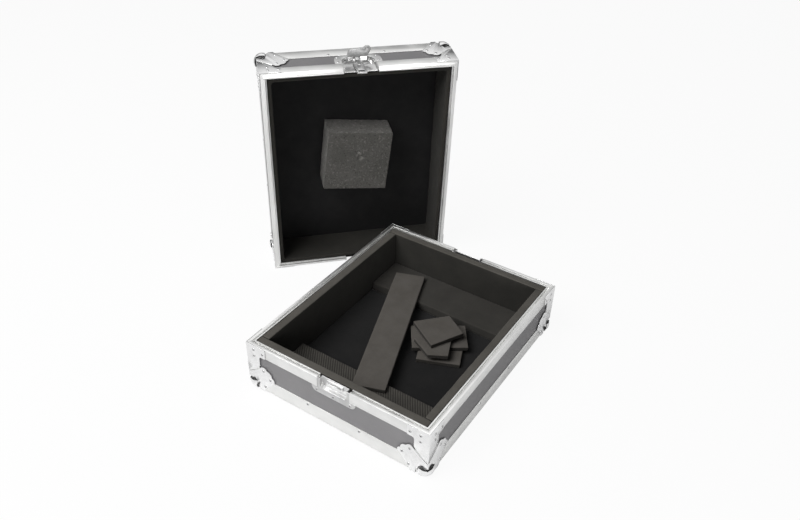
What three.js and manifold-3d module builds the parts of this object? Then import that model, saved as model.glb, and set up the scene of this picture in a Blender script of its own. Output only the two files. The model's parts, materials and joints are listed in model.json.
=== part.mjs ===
// A road case for a turntable: a deep base and a lid that lifts off.
// The base lies on the floor with its foam fittings, the lid stands on one short side behind it.
// Millimetres, +Z up. Origin: on the floor, under the middle of the whole.
import * as THREE from 'three';
import { mergeVertices } from 'three/addons/utils/BufferGeometryUtils.js';
import { ConvexGeometry } from 'three/addons/geometries/ConvexGeometry.js';
import Module from 'manifold-3d';

// Case body, over the aluminium
const caseWidth = 413;
const caseLength = 502;
const baseDepth = 112;
const lidDepth = 95;
const sheet = 1.5;
const wallPly = 9;
const facePly = 7;
const fit = 0.3;
const overrun = 4;

// Edge angles and rim extrusions
const angleLeg = 32;
const cornerLeg = 27;
const railFace = 24;
const railInnerLeg = 12;
const railCut = 36.5;
const tongueInset = 7.05;
const tongueWidth = 2.4;
const tongueHeight = 5.5;
const tonguePlay = 0.35;
const grooveDepth = 6;
const lidRailWeb = 3;

// Corner hardware
const plateSheet = 1.2;
const ballRadius = 18;
const ballProud = 6;
const ballLip = 19.5;
const cornerTrim = 22;
const slitReach = 16;
const slitRise = 1.5;
const slitHalfHeight = 4;
const plateReach = 37;
const plateGap = 2;
const vBulge = 3;
const lobeNear = 38;
const lobeRadius = 8;
const lobeRimGap = 7;
const lobeBulge = 2;
const lobeStart = 0.72 * Math.PI;
const lobeEnd = 0.1 * Math.PI;
const braceArm = 45;
const braceLeg = 30;
const braceFillet = 6;
const braceTipRound = 3;

// Latch halves: a keeper dish on the base, a dish with the moving latch on the lid
const dishHalf = 50;
const dishSheet = 1.2;
const panFloor = 8.8;
const keeperDrop = 38;
const keeperCorner = 12;
const keeperRecessHalf = 30;
const keeperRecessDrop = 23;
const recessCorner = 5;
const strikeHalf = 18;
const strikeTop = 3;
const strikeHeight = 10;
const strikeRise = 3;
const strikeSlotHalf = 13.5;
const strikeSlotHeight = 3.8;
const latchCorner = 20;
const latchRecessHalf = 34.3;
const latchRecessLow = 43;
const latchRecessCorner = 16;

// Latch mechanism, depths counted inward from the aluminium's face
const spindleHeight = 61;
const spindleRadius = 4;
const camRadius = 9;
const camTop = 5.9;
const headTop = 3.1;
const headThickness = 1;
const headHalf = 9;
const headLength = 6;
const hingeDepth = 2;
const hingeOffset = 9;
const lugRadius = 1.6;
const lugWidth = 2.7;
const hingePinRadius = 0.9;
const knuckleRadius = 1.7;
const hookTop = 4.4;
const hookThickness = 1.2;
const hookHalf = 10;
const hookTail = 7;
const hookReach = 13;
const hookThrow = 5;
const hookWindowHalf = 6;
const hookWindowLow = 2;
const hookWindowHeight = 6;
const wingThickness = 1.6;
const wingNeck = 6.3;
const wingLeft = 22;
const wingRight = 20;
const wingHeight = 24;
const wingTopLeft = 9;
const wingEye = 19.5;
const wingEyeHeight = 21;
const wingEyeRadius = 8.6;
const wingHoleRadius = 3.3;
const wingEyeEnd = 0.8 * Math.PI;

// Foam fittings
const foamInset = 30;
const foamDrop = 0.8;
const linerThickness = 2;
const ledgeHeight = 22.3;
const frontLedgeEdge = -125;
const backLedgeEdge = 126;
const stripShort = 128;
const stripWidth = 68;
const stripThickness = 10;
const stripHeading = -69.8;
const stripX = -49.5;
const stripY = 14.7;
const padThickness = 9.8;
const padStock = 100;
const lidFoamThickness = 9;
const blockSide = 146;
const blockHeight = 63.5;
const blockTurn = -5.8;
const blockY = 12.5;
const blockX = -2.5;

// Carrying handle on the base's left side
const handleRimGap = 2;
const handleSpan = 130;
const bracketWidth = 24;
const bracketHeight = 30;
const bracketSheet = 2;
const bracketEar = 16;
const earThickness = 4;
const gripDepth = 9;
const gripDrop = 30;
const gripRadius = 8;
const gripPinRadius = 3;
const gripArm = 10;
const gripFlatShare = 0.8;

// Where the lid stands
const lidYaw = 46.2;
const lidX = -281.4;
const lidY = 225.5;

// Sizes that follow
const halfWidth = caseWidth / 2;
const halfLength = caseLength / 2;
const boardInset = sheet + fit;
const wallInner = boardInset + wallPly;
const railWidth = wallInner + fit + sheet;
const boardTop = boardInset + facePly;
const baseRailWeb = grooveDepth + sheet;
const grooveInset = tongueInset - tonguePlay;
const grooveWidth = tongueWidth + 2 * tonguePlay;
const plateProud = fit + plateSheet;
const ballCentre = ballRadius - ballProud;
const linerTop = boardTop + fit + linerThickness;
const insideX = halfWidth - wallInner - fit;
const insideY = halfLength - wallInner - fit;
const foamX = halfWidth - foamInset;
const foamY = halfLength - foamInset;
const ledgeTop = boardTop + fit + ledgeHeight;
const stripBottom = ledgeTop + fit;
const stripLength = caseLength - stripShort;
const panBack = panFloor + dishSheet;
const sideRoom = Math.min(baseDepth, lidDepth) - railFace;
const lobeFar = sideRoom - lobeRimGap - lobeRadius;
const lobeDip = lobeFar + lobeBulge;
const braceSlope = sideRoom - braceFillet - plateReach - plateGap;
const handleHinge = baseDepth - railFace - bracketHeight / 2 - handleRimGap;

// The lid stands on its two lower ball corners and on the braces at its rim
const leanRise = ballCentre + plateProud;
const leanRun = lidDepth - ballCentre;
const lidLean = Math.asin(ballRadius / Math.hypot(leanRise, leanRun)) - Math.atan2(leanRise, leanRun);

// Loose pads from the bottom up, in shares of the foam stock. Each has a front edge, a back edge, a depth,
// the shift of its back edge along the front, a heading, and the middle of its front edge.
const pads = [
  { front: 0.91, back: 0.91, depth: 0.86, shift: 0, heading: 22.6, x: 0.78, y: -0.045 },
  { front: 1.17, back: 1.17, depth: 0.7, shift: 0, heading: 34.9, x: 0.65, y: 0.255 },
  { front: 0.42, back: 0.78, depth: 0.48, shift: -0.12, heading: 30, x: 0.785, y: -0.07 },
  { front: 0.83, back: 0.62, depth: 0.79, shift: 0.045, heading: -31.2, x: 0.215, y: 0.225 },
];

const axisX = new THREE.Vector3(1, 0, 0);
const axisY = new THREE.Vector3(0, 1, 0);
const axisZ = new THREE.Vector3(0, 0, 1);

const wasm = await Module();
wasm.setup();

const aluminium = new THREE.MeshStandardMaterial({ color: 0xdcdcda, roughness: 0.35, metalness: 0.9 });
const steel = new THREE.MeshStandardMaterial({ color: 0xe6e6e4, roughness: 0.25, metalness: 1 });
const chrome = new THREE.MeshStandardMaterial({ color: 0xeeeeee, roughness: 0.1, metalness: 1 });
const wingSteel = new THREE.MeshStandardMaterial({ color: 0xa6a6a6, roughness: 0.4, metalness: 0.8 });
const laminate = new THREE.MeshStandardMaterial({ color: 0x807e80, roughness: 0.45, metalness: 0 });
const wallFoam = new THREE.MeshStandardMaterial({ color: 0x57554f, roughness: 0.95, metalness: 0 });
const looseFoam = new THREE.MeshStandardMaterial({ color: 0x4f4c48, roughness: 0.95, metalness: 0 });
const lining = new THREE.MeshStandardMaterial({ color: 0x1a1a1a, roughness: 0.95, metalness: 0 });
const moulding = new THREE.MeshStandardMaterial({ color: 0x1c1c1c, roughness: 0.55, metalness: 0 });

// A closed surface as a solid that can be cut and joined
function solid(geometry) {
  const bare = geometry.clone();
  bare.deleteAttribute('normal');
  bare.deleteAttribute('uv');
  const merged = mergeVertices(bare);
  const triVerts = new Uint32Array(merged.index.array);
  const vertProperties = new Float32Array(merged.attributes.position.array);
  return new wasm.Manifold(new wasm.Mesh({ numProp: 3, vertProperties, triVerts }));
}

function surface(body) {
  const mesh = body.getMesh();
  const geometry = new THREE.BufferGeometry();
  geometry.setAttribute('position', new THREE.BufferAttribute(mesh.vertProperties, 3));
  geometry.setIndex(new THREE.BufferAttribute(mesh.triVerts, 1));
  geometry.computeVertexNormals();
  return geometry;
}

function cut(body, ...tools) {
  return surface(tools.reduce((rest, tool) => rest.subtract(solid(tool)), solid(body)));
}

function join(...pieces) {
  return surface(pieces.slice(1).reduce((whole, piece) => whole.add(solid(piece)), solid(pieces[0])));
}

function common(first, second) {
  return surface(solid(first).intersect(solid(second)));
}

function block(low, high) {
  const size = high.map((value, i) => value - low[i]);
  const middle = high.map((value, i) => (value + low[i]) / 2);
  return new THREE.BoxGeometry(...size).translate(...middle);
}

// A round rod along Y between two depths
function rodAcross(radius, from, to, sides = 20) {
  return new THREE.CylinderGeometry(radius, radius, to - from, sides).translate(0, (from + to) / 2, 0);
}

// A round rod along X, centred
function rodAlong(radius, length, sides = 12) {
  return new THREE.CylinderGeometry(radius, radius, length, sides).rotateZ(Math.PI / 2);
}

// An outline drawn in X and Z, as a plate between two depths along Y
function plateAcross(outline, from, to, curveSegments = 6) {
  const settings = { depth: to - from, bevelEnabled: false, curveSegments };
  return new THREE.ExtrudeGeometry(outline, settings).rotateX(Math.PI / 2).translate(0, to, 0);
}

function outlineOf(points) {
  return new THREE.Shape(points.map(([x, y]) => new THREE.Vector2(x, y)));
}

// Rings of points joined in order and capped at both ends, faced outward
function loft(rings, outline) {
  const count = outline.length;
  const positions = rings.flat();
  const faces = [];
  for (let ring = 0; ring + 1 < rings.length; ring++) {
    for (let i = 0; i < count; i++) {
      const next = (i + 1) % count;
      const a = ring * count + i;
      const b = ring * count + next;
      faces.push([a, b, b + count], [a, b + count, a + count]);
    }
  }
  const caps = THREE.ShapeUtils.triangulateShape(outline.map(([x, y]) => new THREE.Vector2(x, y)), []);
  const last = (rings.length - 1) * count;
  const clockwise = THREE.ShapeUtils.area(outline.map(([x, y]) => new THREE.Vector2(x, y))) < 0;
  for (const [a, b, c] of caps) {
    faces.push(clockwise ? [a, b, c] : [a, c, b]);
    faces.push(clockwise ? [last + a, last + c, last + b] : [last + a, last + b, last + c]);
  }
  const volume = faces.reduce((sum, face) => {
    const [a, b, c] = face.map((i) => new THREE.Vector3(...positions[i]));
    return sum + a.dot(b.cross(c));
  }, 0);
  const index = faces.flatMap((face) => (volume < 0 ? [...face].reverse() : face));
  const geometry = new THREE.BufferGeometry();
  geometry.setAttribute('position', new THREE.Float32BufferAttribute(positions.flat(), 3));
  geometry.setIndex(index);
  geometry.computeVertexNormals();
  return geometry;
}

function piece(parent, name, geometry, material) {
  const mesh = new THREE.Mesh(geometry, material);
  mesh.name = name;
  parent.add(mesh);
  return mesh;
}

// One side of a half case: X runs along the side, Y inward from the aluminium's face
function sideGroup(parent, turn, distance) {
  const group = new THREE.Group();
  group.rotation.z = turn;
  group.position.set(distance * Math.sin(turn), -distance * Math.cos(turn), 0);
  parent.add(group);
  return group;
}

// The four corners of a half case, with X and Y inward from each
function cornerGroups(parent) {
  const places = [
    ['front_left', -1, -1, 0],
    ['front_right', 1, -1, 1],
    ['back_right', 1, 1, 2],
    ['back_left', -1, 1, 3],
  ];
  return places.map(([name, x, y, quarters]) => {
    const group = new THREE.Group();
    group.position.set(x * halfWidth, y * halfLength, 0);
    group.rotation.z = quarters * Math.PI / 2;
    parent.add(group);
    return [name, group];
  });
}

// The wedge that cuts a corner off, given how far along each edge it cuts
function cornerWedge(trim, place) {
  const reach = trim + 2 * overrun;
  const points = [
    [-overrun, -overrun, -overrun],
    [reach, -overrun, -overrun],
    [-overrun, reach, -overrun],
    [-overrun, -overrun, reach],
  ];
  return new ConvexGeometry(points.map((point) => new THREE.Vector3(...place(point))));
}

// The four closed corners of the box are cut off under the ball corners
function cornerCuts() {
  const signs = [[-1, -1], [1, -1], [1, 1], [-1, 1]];
  return signs.map(([x, y]) => cornerWedge(cornerTrim, ([a, b, c]) => [x * (halfWidth - a), y * (halfLength - b), c]));
}

function facePanel() {
  const x = halfWidth - boardInset;
  const y = halfLength - boardInset;
  return cut(block([-x, -y, boardInset], [x, y, boardTop]), ...cornerCuts());
}

// A short wall runs the full width and is notched for the latch pan; a long wall fits between them
function shortWall(end, top, notchHalf, notchLow) {
  const x = halfWidth - boardInset;
  const outer = end * (halfLength - boardInset);
  const inner = end * (halfLength - wallInner);
  const board = block([-x, Math.min(outer, inner), boardTop + fit], [x, Math.max(outer, inner), top]);
  const notch = block(
    [-notchHalf, Math.min(outer, inner) - overrun, notchLow],
    [notchHalf, Math.max(outer, inner) + overrun, top + overrun],
  );
  return cut(board, notch, ...cornerCuts());
}

function longWall(end, top) {
  const y = halfLength - wallInner - fit;
  const outer = end * (halfWidth - boardInset);
  const inner = end * (halfWidth - wallInner);
  return block([Math.min(outer, inner), -y, boardTop + fit], [Math.max(outer, inner), y, top]);
}

// Aluminium angles round the closed face and up the four corners, mitred into one frame
function edgeAngles(depth) {
  const top = depth - railFace - fit;
  const outer = block([-halfWidth, -halfLength, 0], [halfWidth, halfLength, top]);
  const inside = block(
    [sheet - halfWidth, sheet - halfLength, sheet],
    [halfWidth - sheet, halfLength - sheet, top + overrun],
  );
  const face = block(
    [angleLeg - halfWidth, angleLeg - halfLength, -overrun],
    [halfWidth - angleLeg, halfLength - angleLeg, sheet + overrun],
  );
  const acrossX = block(
    [-halfWidth - overrun, cornerLeg - halfLength, angleLeg],
    [halfWidth + overrun, halfLength - cornerLeg, top + overrun],
  );
  const acrossY = block(
    [cornerLeg - halfWidth, -halfLength - overrun, angleLeg],
    [halfWidth - cornerLeg, halfLength + overrun, top + overrun],
  );
  return cut(outer, inside, face, acrossX, acrossY, ...cornerCuts());
}

// Rim section, as inset from the outer face and depth below the rim
function grooveSection() {
  const far = grooveInset + grooveWidth;
  return [
    [0, railFace], [0, 0], [grooveInset, 0], [grooveInset, grooveDepth], [far, grooveDepth], [far, 0],
    [railWidth, 0], [railWidth, railInnerLeg], [railWidth - sheet, railInnerLeg],
    [railWidth - sheet, baseRailWeb], [sheet, baseRailWeb], [sheet, railFace],
  ];
}

function tongueSection() {
  const far = tongueInset + tongueWidth;
  return [
    [0, railFace], [0, 0], [tongueInset, 0], [tongueInset, -tongueHeight], [far, -tongueHeight], [far, 0],
    [railWidth, 0], [railWidth, railInnerLeg], [railWidth - sheet, railInnerLeg],
    [railWidth - sheet, lidRailWeb], [sheet, lidRailWeb], [sheet, railFace],
  ];
}

// Half of the rim, from the front keeper round one long side to the back keeper, mitred at the corners
function rimRail(section, end, depth) {
  const stations = [
    (inset) => [end * railCut, inset - halfLength],
    (inset) => [end * (halfWidth - inset), inset - halfLength],
    (inset) => [end * (halfWidth - inset), halfLength - inset],
    (inset) => [end * railCut, halfLength - inset],
  ];
  const rings = stations.map((at) => section.map(([inset, drop]) => [...at(inset), depth - drop]));
  return loft(rings, section);
}

// One lobed plate of a ball corner, in X and Z from the corner
function ballPlateOutline() {
  const near = new THREE.Vector2(-plateProud, plateReach - plateProud);
  const lobe = new THREE.Vector2(Math.cos(lobeStart), Math.sin(lobeStart)).multiplyScalar(lobeRadius);
  lobe.add(new THREE.Vector2(lobeNear, lobeFar));
  const bulge = near.clone().add(lobe).divideScalar(2).add(new THREE.Vector2(vBulge, -vBulge));
  const outline = new THREE.Shape();
  outline.moveTo(-plateProud, -plateProud);
  outline.lineTo(near.x, near.y);
  outline.quadraticCurveTo(bulge.x, bulge.y, lobe.x, lobe.y);
  outline.absarc(lobeNear, lobeFar, lobeRadius, lobeStart, lobeEnd, true);
  const end = [lobeFar + lobeRadius * Math.sin(lobeEnd), lobeNear + lobeRadius * Math.cos(lobeEnd)];
  outline.quadraticCurveTo(lobeDip, lobeDip, ...end);
  outline.absarc(lobeFar, lobeNear, lobeRadius, Math.PI / 2 - lobeEnd, Math.PI / 2 - lobeStart, true);
  outline.quadraticCurveTo(bulge.y, bulge.x, near.y, near.x);
  return outline;
}

// A pressed steel corner: a ball over the cut-off corner and three plates, open in a slit at each edge
function ballCorner() {
  const ball = new THREE.SphereGeometry(ballRadius, 16, 10).translate(ballCentre, ballCentre, ballCentre);
  const lip = block([-ballRadius, -ballRadius, -ballRadius], [ballLip, ballLip, ballLip]);
  const underBall = block([-overrun, -overrun, -overrun], [ballCentre, ballCentre, ballCentre]);
  const plate = cut(plateAcross(ballPlateOutline(), -plateProud, -fit, 3), underBall);
  const nextFace = new THREE.Matrix4().makeBasis(axisY, axisZ, axisX);
  const second = plate.clone().applyMatrix4(nextFace);
  const third = second.clone().applyMatrix4(nextFace);
  const reach = lobeFar + lobeRadius + overrun;
  const box = block([-fit, -fit, -fit], [reach, reach, reach]);
  const trimmedBox = cut(box, cornerWedge(cornerTrim - fit * Math.sqrt(3), (point) => point));
  const slits = [0, 1, 2].map((axis) => {
    const scale = [slitReach, slitReach, slitReach];
    const centre = [0, 0, 0];
    scale[axis] = slitHalfHeight;
    centre[axis] = ballLip + slitRise;
    return new THREE.SphereGeometry(1, 10, 6).scale(...scale).translate(...centre);
  });
  return cut(join(common(ball, lip), plate, second, third), trimmedBox, ...slits);
}

// A rim corner brace: an arm along each rim and a leg down the corner, pointed to the ball corner
function cornerBrace(depth) {
  const tip = plateReach + plateGap;
  const low = depth - railFace;
  const outline = new THREE.Shape();
  outline.moveTo(-plateProud, depth);
  outline.lineTo(braceArm, depth);
  outline.lineTo(braceArm, low + braceTipRound);
  outline.quadraticCurveTo(braceArm, low, braceArm - braceTipRound, low);
  outline.lineTo(braceLeg + braceFillet, low);
  outline.quadraticCurveTo(braceLeg, low, braceLeg, low - braceFillet);
  outline.lineTo(braceLeg, tip + braceSlope);
  const middle = [(braceLeg - plateProud) / 2, tip + (braceSlope - plateProud) / 2];
  outline.quadraticCurveTo(middle[0] + vBulge, middle[1] - vBulge, -plateProud, tip - plateProud);
  const plate = plateAcross(outline, -plateProud, -fit);
  const other = plateAcross(outline, -plateProud, -fit).rotateZ(Math.PI / 2);
  const acrossCorner = new THREE.Matrix4().makeScale(-1, 1, 1);
  return surface(solid(plate).add(solid(other).transform(acrossCorner.toArray())));
}

// A recess that is open at the rim and rounded at its lower corners
function recessOutline(half, low, top, corner) {
  const outline = new THREE.Shape();
  outline.moveTo(-half, top);
  outline.lineTo(-half, low + corner);
  outline.absarc(corner - half, low + corner, corner, Math.PI, 1.5 * Math.PI, false);
  outline.absarc(half - corner, low + corner, corner, 1.5 * Math.PI, 2 * Math.PI, false);
  outline.lineTo(half, top);
  return outline;
}

// The dish's flange: wide on the panel, narrow where it passes through the cut in the rim
function flangeOutline(low, shoulder, top, corner) {
  const neck = railCut - fit;
  const outline = new THREE.Shape();
  outline.moveTo(-neck, top);
  outline.lineTo(-neck, shoulder);
  outline.lineTo(-dishHalf, shoulder);
  outline.lineTo(-dishHalf, low + corner);
  outline.absarc(corner - dishHalf, low + corner, corner, Math.PI, 1.5 * Math.PI, false);
  outline.absarc(dishHalf - corner, low + corner, corner, 1.5 * Math.PI, 2 * Math.PI, false);
  outline.lineTo(dishHalf, shoulder);
  outline.lineTo(neck, shoulder);
  outline.lineTo(neck, top);
  return outline;
}

function dish(depth, flangeLow, flangeCorner, recessHalf, recessLow, corner) {
  const face = sheet - dishSheet;
  const shoulder = depth - railFace - fit;
  const flange = plateAcross(flangeOutline(flangeLow, shoulder, depth, flangeCorner), face, sheet);
  const outer = recessOutline(recessHalf + dishSheet, recessLow - dishSheet, depth, corner + dishSheet);
  const recess = recessOutline(recessHalf, recessLow, depth + overrun, corner);
  return cut(join(flange, plateAcross(outer, face, panBack)), plateAcross(recess, -overrun, panFloor));
}

// The keeper: a dish with a slotted strike that the hook plate's claw drops into
function keeperDish() {
  const low = baseDepth - keeperDrop;
  const recessLow = baseDepth - keeperRecessDrop;
  const plain = dish(baseDepth, low, keeperCorner, keeperRecessHalf, recessLow, recessCorner);
  const top = baseDepth - strikeTop;
  const middle = top - strikeHeight / 2;
  const strike = block([-strikeHalf, panFloor - strikeRise, top - strikeHeight], [strikeHalf, panBack, top]);
  const slot = block(
    [-strikeSlotHalf, -overrun, middle - strikeSlotHeight / 2],
    [strikeSlotHalf, panFloor, middle + strikeSlotHeight / 2],
  );
  return cut(join(plain, strike), slot);
}

function latchDish() {
  const low = angleLeg + fit;
  const recess = [latchRecessHalf, latchRecessLow, latchRecessCorner];
  const plain = dish(lidDepth, low, latchCorner, ...recess);
  const hole = rodAcross(spindleRadius + fit, -overrun, panBack + overrun).translate(0, 0, spindleHeight);
  return cut(plain, hole);
}

// The turning spindle: cam disc on the pan floor, shaft through it, head with two lugs and the wing's pin
function latchSpindle() {
  const cam = rodAcross(camRadius, camTop, panFloor - fit, 24);
  const shaft = rodAcross(spindleRadius, headTop, panBack, 20);
  const headBottom = headTop + headThickness;
  const head = block([-headHalf, headTop, -headLength], [headHalf, headBottom, headLength]);
  const lugs = [-1, 1].map((side) => {
    const x = side * (headHalf - lugWidth / 2);
    const half = lugWidth / 2;
    const arm = block([x - half, headTop, -hingeOffset - lugRadius], [x + half, headBottom, -headLength + fit]);
    const web = block(
      [x - half, hingeDepth, -hingeOffset - lugRadius],
      [x + half, headBottom, -hingeOffset + lugRadius],
    );
    const eye = rodAlong(lugRadius, lugWidth).translate(x, hingeDepth, -hingeOffset);
    return join(arm, web, eye);
  });
  const pin = rodAlong(hingePinRadius, 2 * headHalf).translate(0, hingeDepth, -hingeOffset);
  return join(cam, shaft, head, ...lugs, pin);
}

// The folding wing, drawn standing: X along the hinge, outward is negative Y
function latchWing() {
  const neck = headHalf - lugWidth - fit;
  const outline = new THREE.Shape();
  outline.moveTo(-neck, 0);
  outline.lineTo(neck, 0);
  outline.lineTo(neck, wingNeck);
  outline.lineTo(wingRight, wingNeck);
  outline.lineTo(wingEye + wingEyeRadius, wingEyeHeight);
  outline.absarc(wingEye, wingEyeHeight, wingEyeRadius, 0, wingEyeEnd, false);
  outline.lineTo(-wingTopLeft, wingHeight);
  outline.quadraticCurveTo(-wingLeft, wingHeight, -wingLeft, wingNeck + wingTopLeft / 2);
  outline.quadraticCurveTo(-wingLeft, wingNeck, -wingRight, wingNeck);
  outline.lineTo(-neck, wingNeck);
  const hole = new THREE.Path();
  hole.absarc(wingEye, wingEyeHeight, wingHoleRadius, 0, 2 * Math.PI, true);
  outline.holes.push(hole);
  const settings = { depth: wingThickness, bevelEnabled: false, curveSegments: 8 };
  const blade = new THREE.ExtrudeGeometry(outline, settings).translate(0, 0, -wingThickness / 2).rotateZ(Math.PI);
  const knuckle = rodAlong(knuckleRadius, 2 * neck);
  const bore = rodAlong(hingePinRadius + fit, 2 * neck + overrun);
  return cut(join(blade, knuckle), bore);
}

// The hook plate slides over the cam; its claw turns inward beyond the rim
function hookPlate() {
  const bottom = hookTop + hookThickness;
  const end = lidDepth + hookReach - spindleHeight;
  const plate = block([-hookHalf, hookTop, -hookTail], [hookHalf, bottom, end]);
  const clawEnd = panFloor - 2 * fit;
  const claw = block([-hookHalf, hookTop, end - hookThickness], [hookHalf, clawEnd, end]);
  const play = spindleRadius + fit;
  const slot = join(
    rodAcross(play, 0, panBack, 20),
    rodAcross(play, 0, panBack, 20).translate(0, 0, hookThrow),
    block([-play, 0, 0], [play, panBack, hookThrow]),
  );
  const low = lidDepth - spindleHeight + hookWindowLow;
  const window = block([-hookWindowHalf, 0, low], [hookWindowHalf, bottom + fit, low + hookWindowHeight]);
  return cut(join(plate, claw), slot, window);
}

// Foam walls leave room for the inner leg of the rim
function rimLegZone(depth) {
  const low = depth - railInnerLeg - fit;
  const x = halfWidth - railWidth - fit;
  const y = halfLength - railWidth - fit;
  const outer = block([-halfWidth, -halfLength, low], [halfWidth, halfLength, depth + overrun]);
  return cut(outer, block([-x, -y, low - overrun], [x, y, depth + 2 * overrun]));
}

function foamWall(low, high, top) {
  return cut(block([...low, boardTop + fit], [...high, top]), rimLegZone(baseDepth));
}

function foamStrip() {
  const half = stripWidth / 2;
  const strip = block([-stripLength / 2, -half, stripBottom], [stripLength / 2, half, stripBottom + stripThickness]);
  return strip.rotateZ(THREE.MathUtils.degToRad(stripHeading)).translate(stripX, stripY, 0);
}

function foamPad({ front, back, depth, shift, heading, x, y }, level) {
  const corners = [
    [-front / 2, 0],
    [front / 2, 0],
    [shift + back / 2, depth],
    [shift - back / 2, depth],
  ].map((corner) => corner.map((share) => share * padStock));
  const settings = { depth: padThickness, bevelEnabled: false };
  const pad = new THREE.ExtrudeGeometry(outlineOf(corners), settings);
  return pad.rotateZ(THREE.MathUtils.degToRad(heading)).translate(x * padStock, y * padStock, level);
}

function lidFoamRing() {
  const top = lidDepth - foamDrop;
  const inner = railWidth + fit + lidFoamThickness;
  const outer = block([-insideX, -insideY, boardTop + fit], [insideX, insideY, top]);
  const hollow = block(
    [inner - halfWidth, inner - halfLength, 0],
    [halfWidth - inner, halfLength - inner, top + overrun],
  );
  return cut(outer, hollow, rimLegZone(lidDepth));
}

function handleBracket() {
  const half = bracketWidth / 2;
  const back = boardInset - fit;
  const low = -bracketHeight / 2;
  const plate = block([-half, back - bracketSheet, low], [half, back, bracketHeight / 2]);
  const thickness = earThickness / 2;
  const ear = join(
    block([-thickness, -gripDepth, -bracketEar / 2], [thickness, back, bracketEar / 2]),
    rodAlong(bracketEar / 2, earThickness, 20).translate(0, -gripDepth, 0),
  );
  const bore = rodAlong(gripPinRadius + fit, bracketWidth, 16).translate(0, -gripDepth, 0);
  return cut(join(plate, ear), bore);
}

// The swinging grip hangs below its pins: two arms and a thick moulded bar
function handleGrip() {
  const inner = handleSpan / 2 - earThickness / 2 - fit;
  const arms = [-1, 1].map((side) => {
    const x = side * (inner - gripArm / 2);
    const arm = block([x - gripArm / 2, -gripRadius / 2, -gripDrop], [x + gripArm / 2, gripRadius / 2, 0]);
    const eye = rodAlong(gripPinRadius + fit, gripArm, 16).translate(x, 0, 0);
    const pinLength = gripArm + earThickness;
    const pin = rodAlong(gripPinRadius, pinLength, 14).translate(x + side * (pinLength - gripArm) / 2, 0, 0);
    return join(arm, eye, pin);
  });
  const bar = rodAlong(gripRadius, 2 * inner, 18).scale(1, gripFlatShare, 1).translate(0, 0, -gripDrop);
  return join(...arms, bar);
}

function addShell(parent, prefix, depth, section, web, notchHalf, notchLow) {
  const ply = depth - web - fit;
  piece(parent, `${prefix}_wall_front`, shortWall(-1, ply, notchHalf, notchLow), laminate);
  piece(parent, `${prefix}_wall_back`, shortWall(1, ply, notchHalf, notchLow), laminate);
  piece(parent, `${prefix}_wall_left`, longWall(-1, ply), laminate);
  piece(parent, `${prefix}_wall_right`, longWall(1, ply), laminate);
  piece(parent, `${prefix}_edge_angles`, edgeAngles(depth), aluminium);
  piece(parent, `${prefix}_rim_left`, rimRail(section, -1, depth), aluminium);
  piece(parent, `${prefix}_rim_right`, rimRail(section, 1, depth), aluminium);
  for (const [corner, group] of cornerGroups(parent)) {
    piece(group, `${prefix}_ball_corner_${corner}`, ballCorner(), steel);
    piece(group, `${prefix}_corner_brace_${corner}`, cornerBrace(depth), steel);
  }
}

function addLatch(parent, side, raised) {
  piece(parent, `latch_dish_${side}`, latchDish(), chrome);
  const works = new THREE.Group();
  works.position.z = spindleHeight;
  parent.add(works);
  piece(works, `latch_spindle_${side}`, latchSpindle(), chrome);
  piece(works, `latch_hook_${side}`, hookPlate(), chrome);
  const wing = piece(works, `latch_wing_${side}`, latchWing(), wingSteel);
  wing.position.set(0, hingeDepth, -hingeOffset);
  wing.rotation.x = raised ? 0 : -Math.PI / 2;
}

function addBaseFoam(parent) {
  const top = baseDepth - foamDrop;
  piece(parent, 'base_foam_front', foamWall([-insideX, -insideY], [insideX, -foamY], top), wallFoam);
  piece(parent, 'base_foam_back', foamWall([-insideX, foamY], [insideX, insideY], top), wallFoam);
  piece(parent, 'base_foam_left', foamWall([-insideX, fit - foamY], [-foamX, foamY - fit], top), wallFoam);
  piece(parent, 'base_foam_right', foamWall([foamX, fit - foamY], [insideX, foamY - fit], top), wallFoam);
  const x = foamX - fit;
  const y = foamY - fit;
  const low = boardTop + fit;
  const well = block([-x, frontLedgeEdge + fit, low], [x, backLedgeEdge - fit, linerTop]);
  piece(parent, 'base_floor_liner', well, lining);
  piece(parent, 'foam_ledge_front', block([-x, -y, low], [x, frontLedgeEdge, ledgeTop]), wallFoam);
  piece(parent, 'foam_ledge_back', block([-x, backLedgeEdge, low], [x, y, ledgeTop]), wallFoam);
  piece(parent, 'foam_strip', foamStrip(), looseFoam);
  pads.forEach((pad, i) => {
    const level = linerTop + fit + i * (padThickness + fit);
    piece(parent, `foam_pad_${i + 1}`, foamPad(pad, level), looseFoam);
  });
}

function addHandle(parent) {
  const side = sideGroup(parent, -Math.PI / 2, halfWidth);
  const hinge = new THREE.Group();
  hinge.position.z = handleHinge;
  side.add(hinge);
  for (const [name, end] of [['front', 1], ['back', -1]]) {
    const bracket = piece(hinge, `handle_bracket_${name}`, handleBracket(), chrome);
    bracket.position.x = end * handleSpan / 2;
  }
  const grip = piece(hinge, 'handle_grip', handleGrip(), moulding);
  grip.position.y = -gripDepth;
}

function buildBase() {
  const base = new THREE.Group();
  base.position.z = ballProud;
  piece(base, 'base_floor_panel', facePanel(), laminate);
  const notchHalf = keeperRecessHalf + dishSheet + fit;
  const notchLow = baseDepth - keeperRecessDrop - dishSheet - fit;
  addShell(base, 'base', baseDepth, grooveSection(), baseRailWeb, notchHalf, notchLow);
  addBaseFoam(base);
  for (const [name, turn] of [['front', 0], ['back', Math.PI]]) {
    piece(sideGroup(base, turn, halfLength), `keeper_dish_${name}`, keeperDish(), chrome);
  }
  addHandle(base);
  return base;
}

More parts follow.
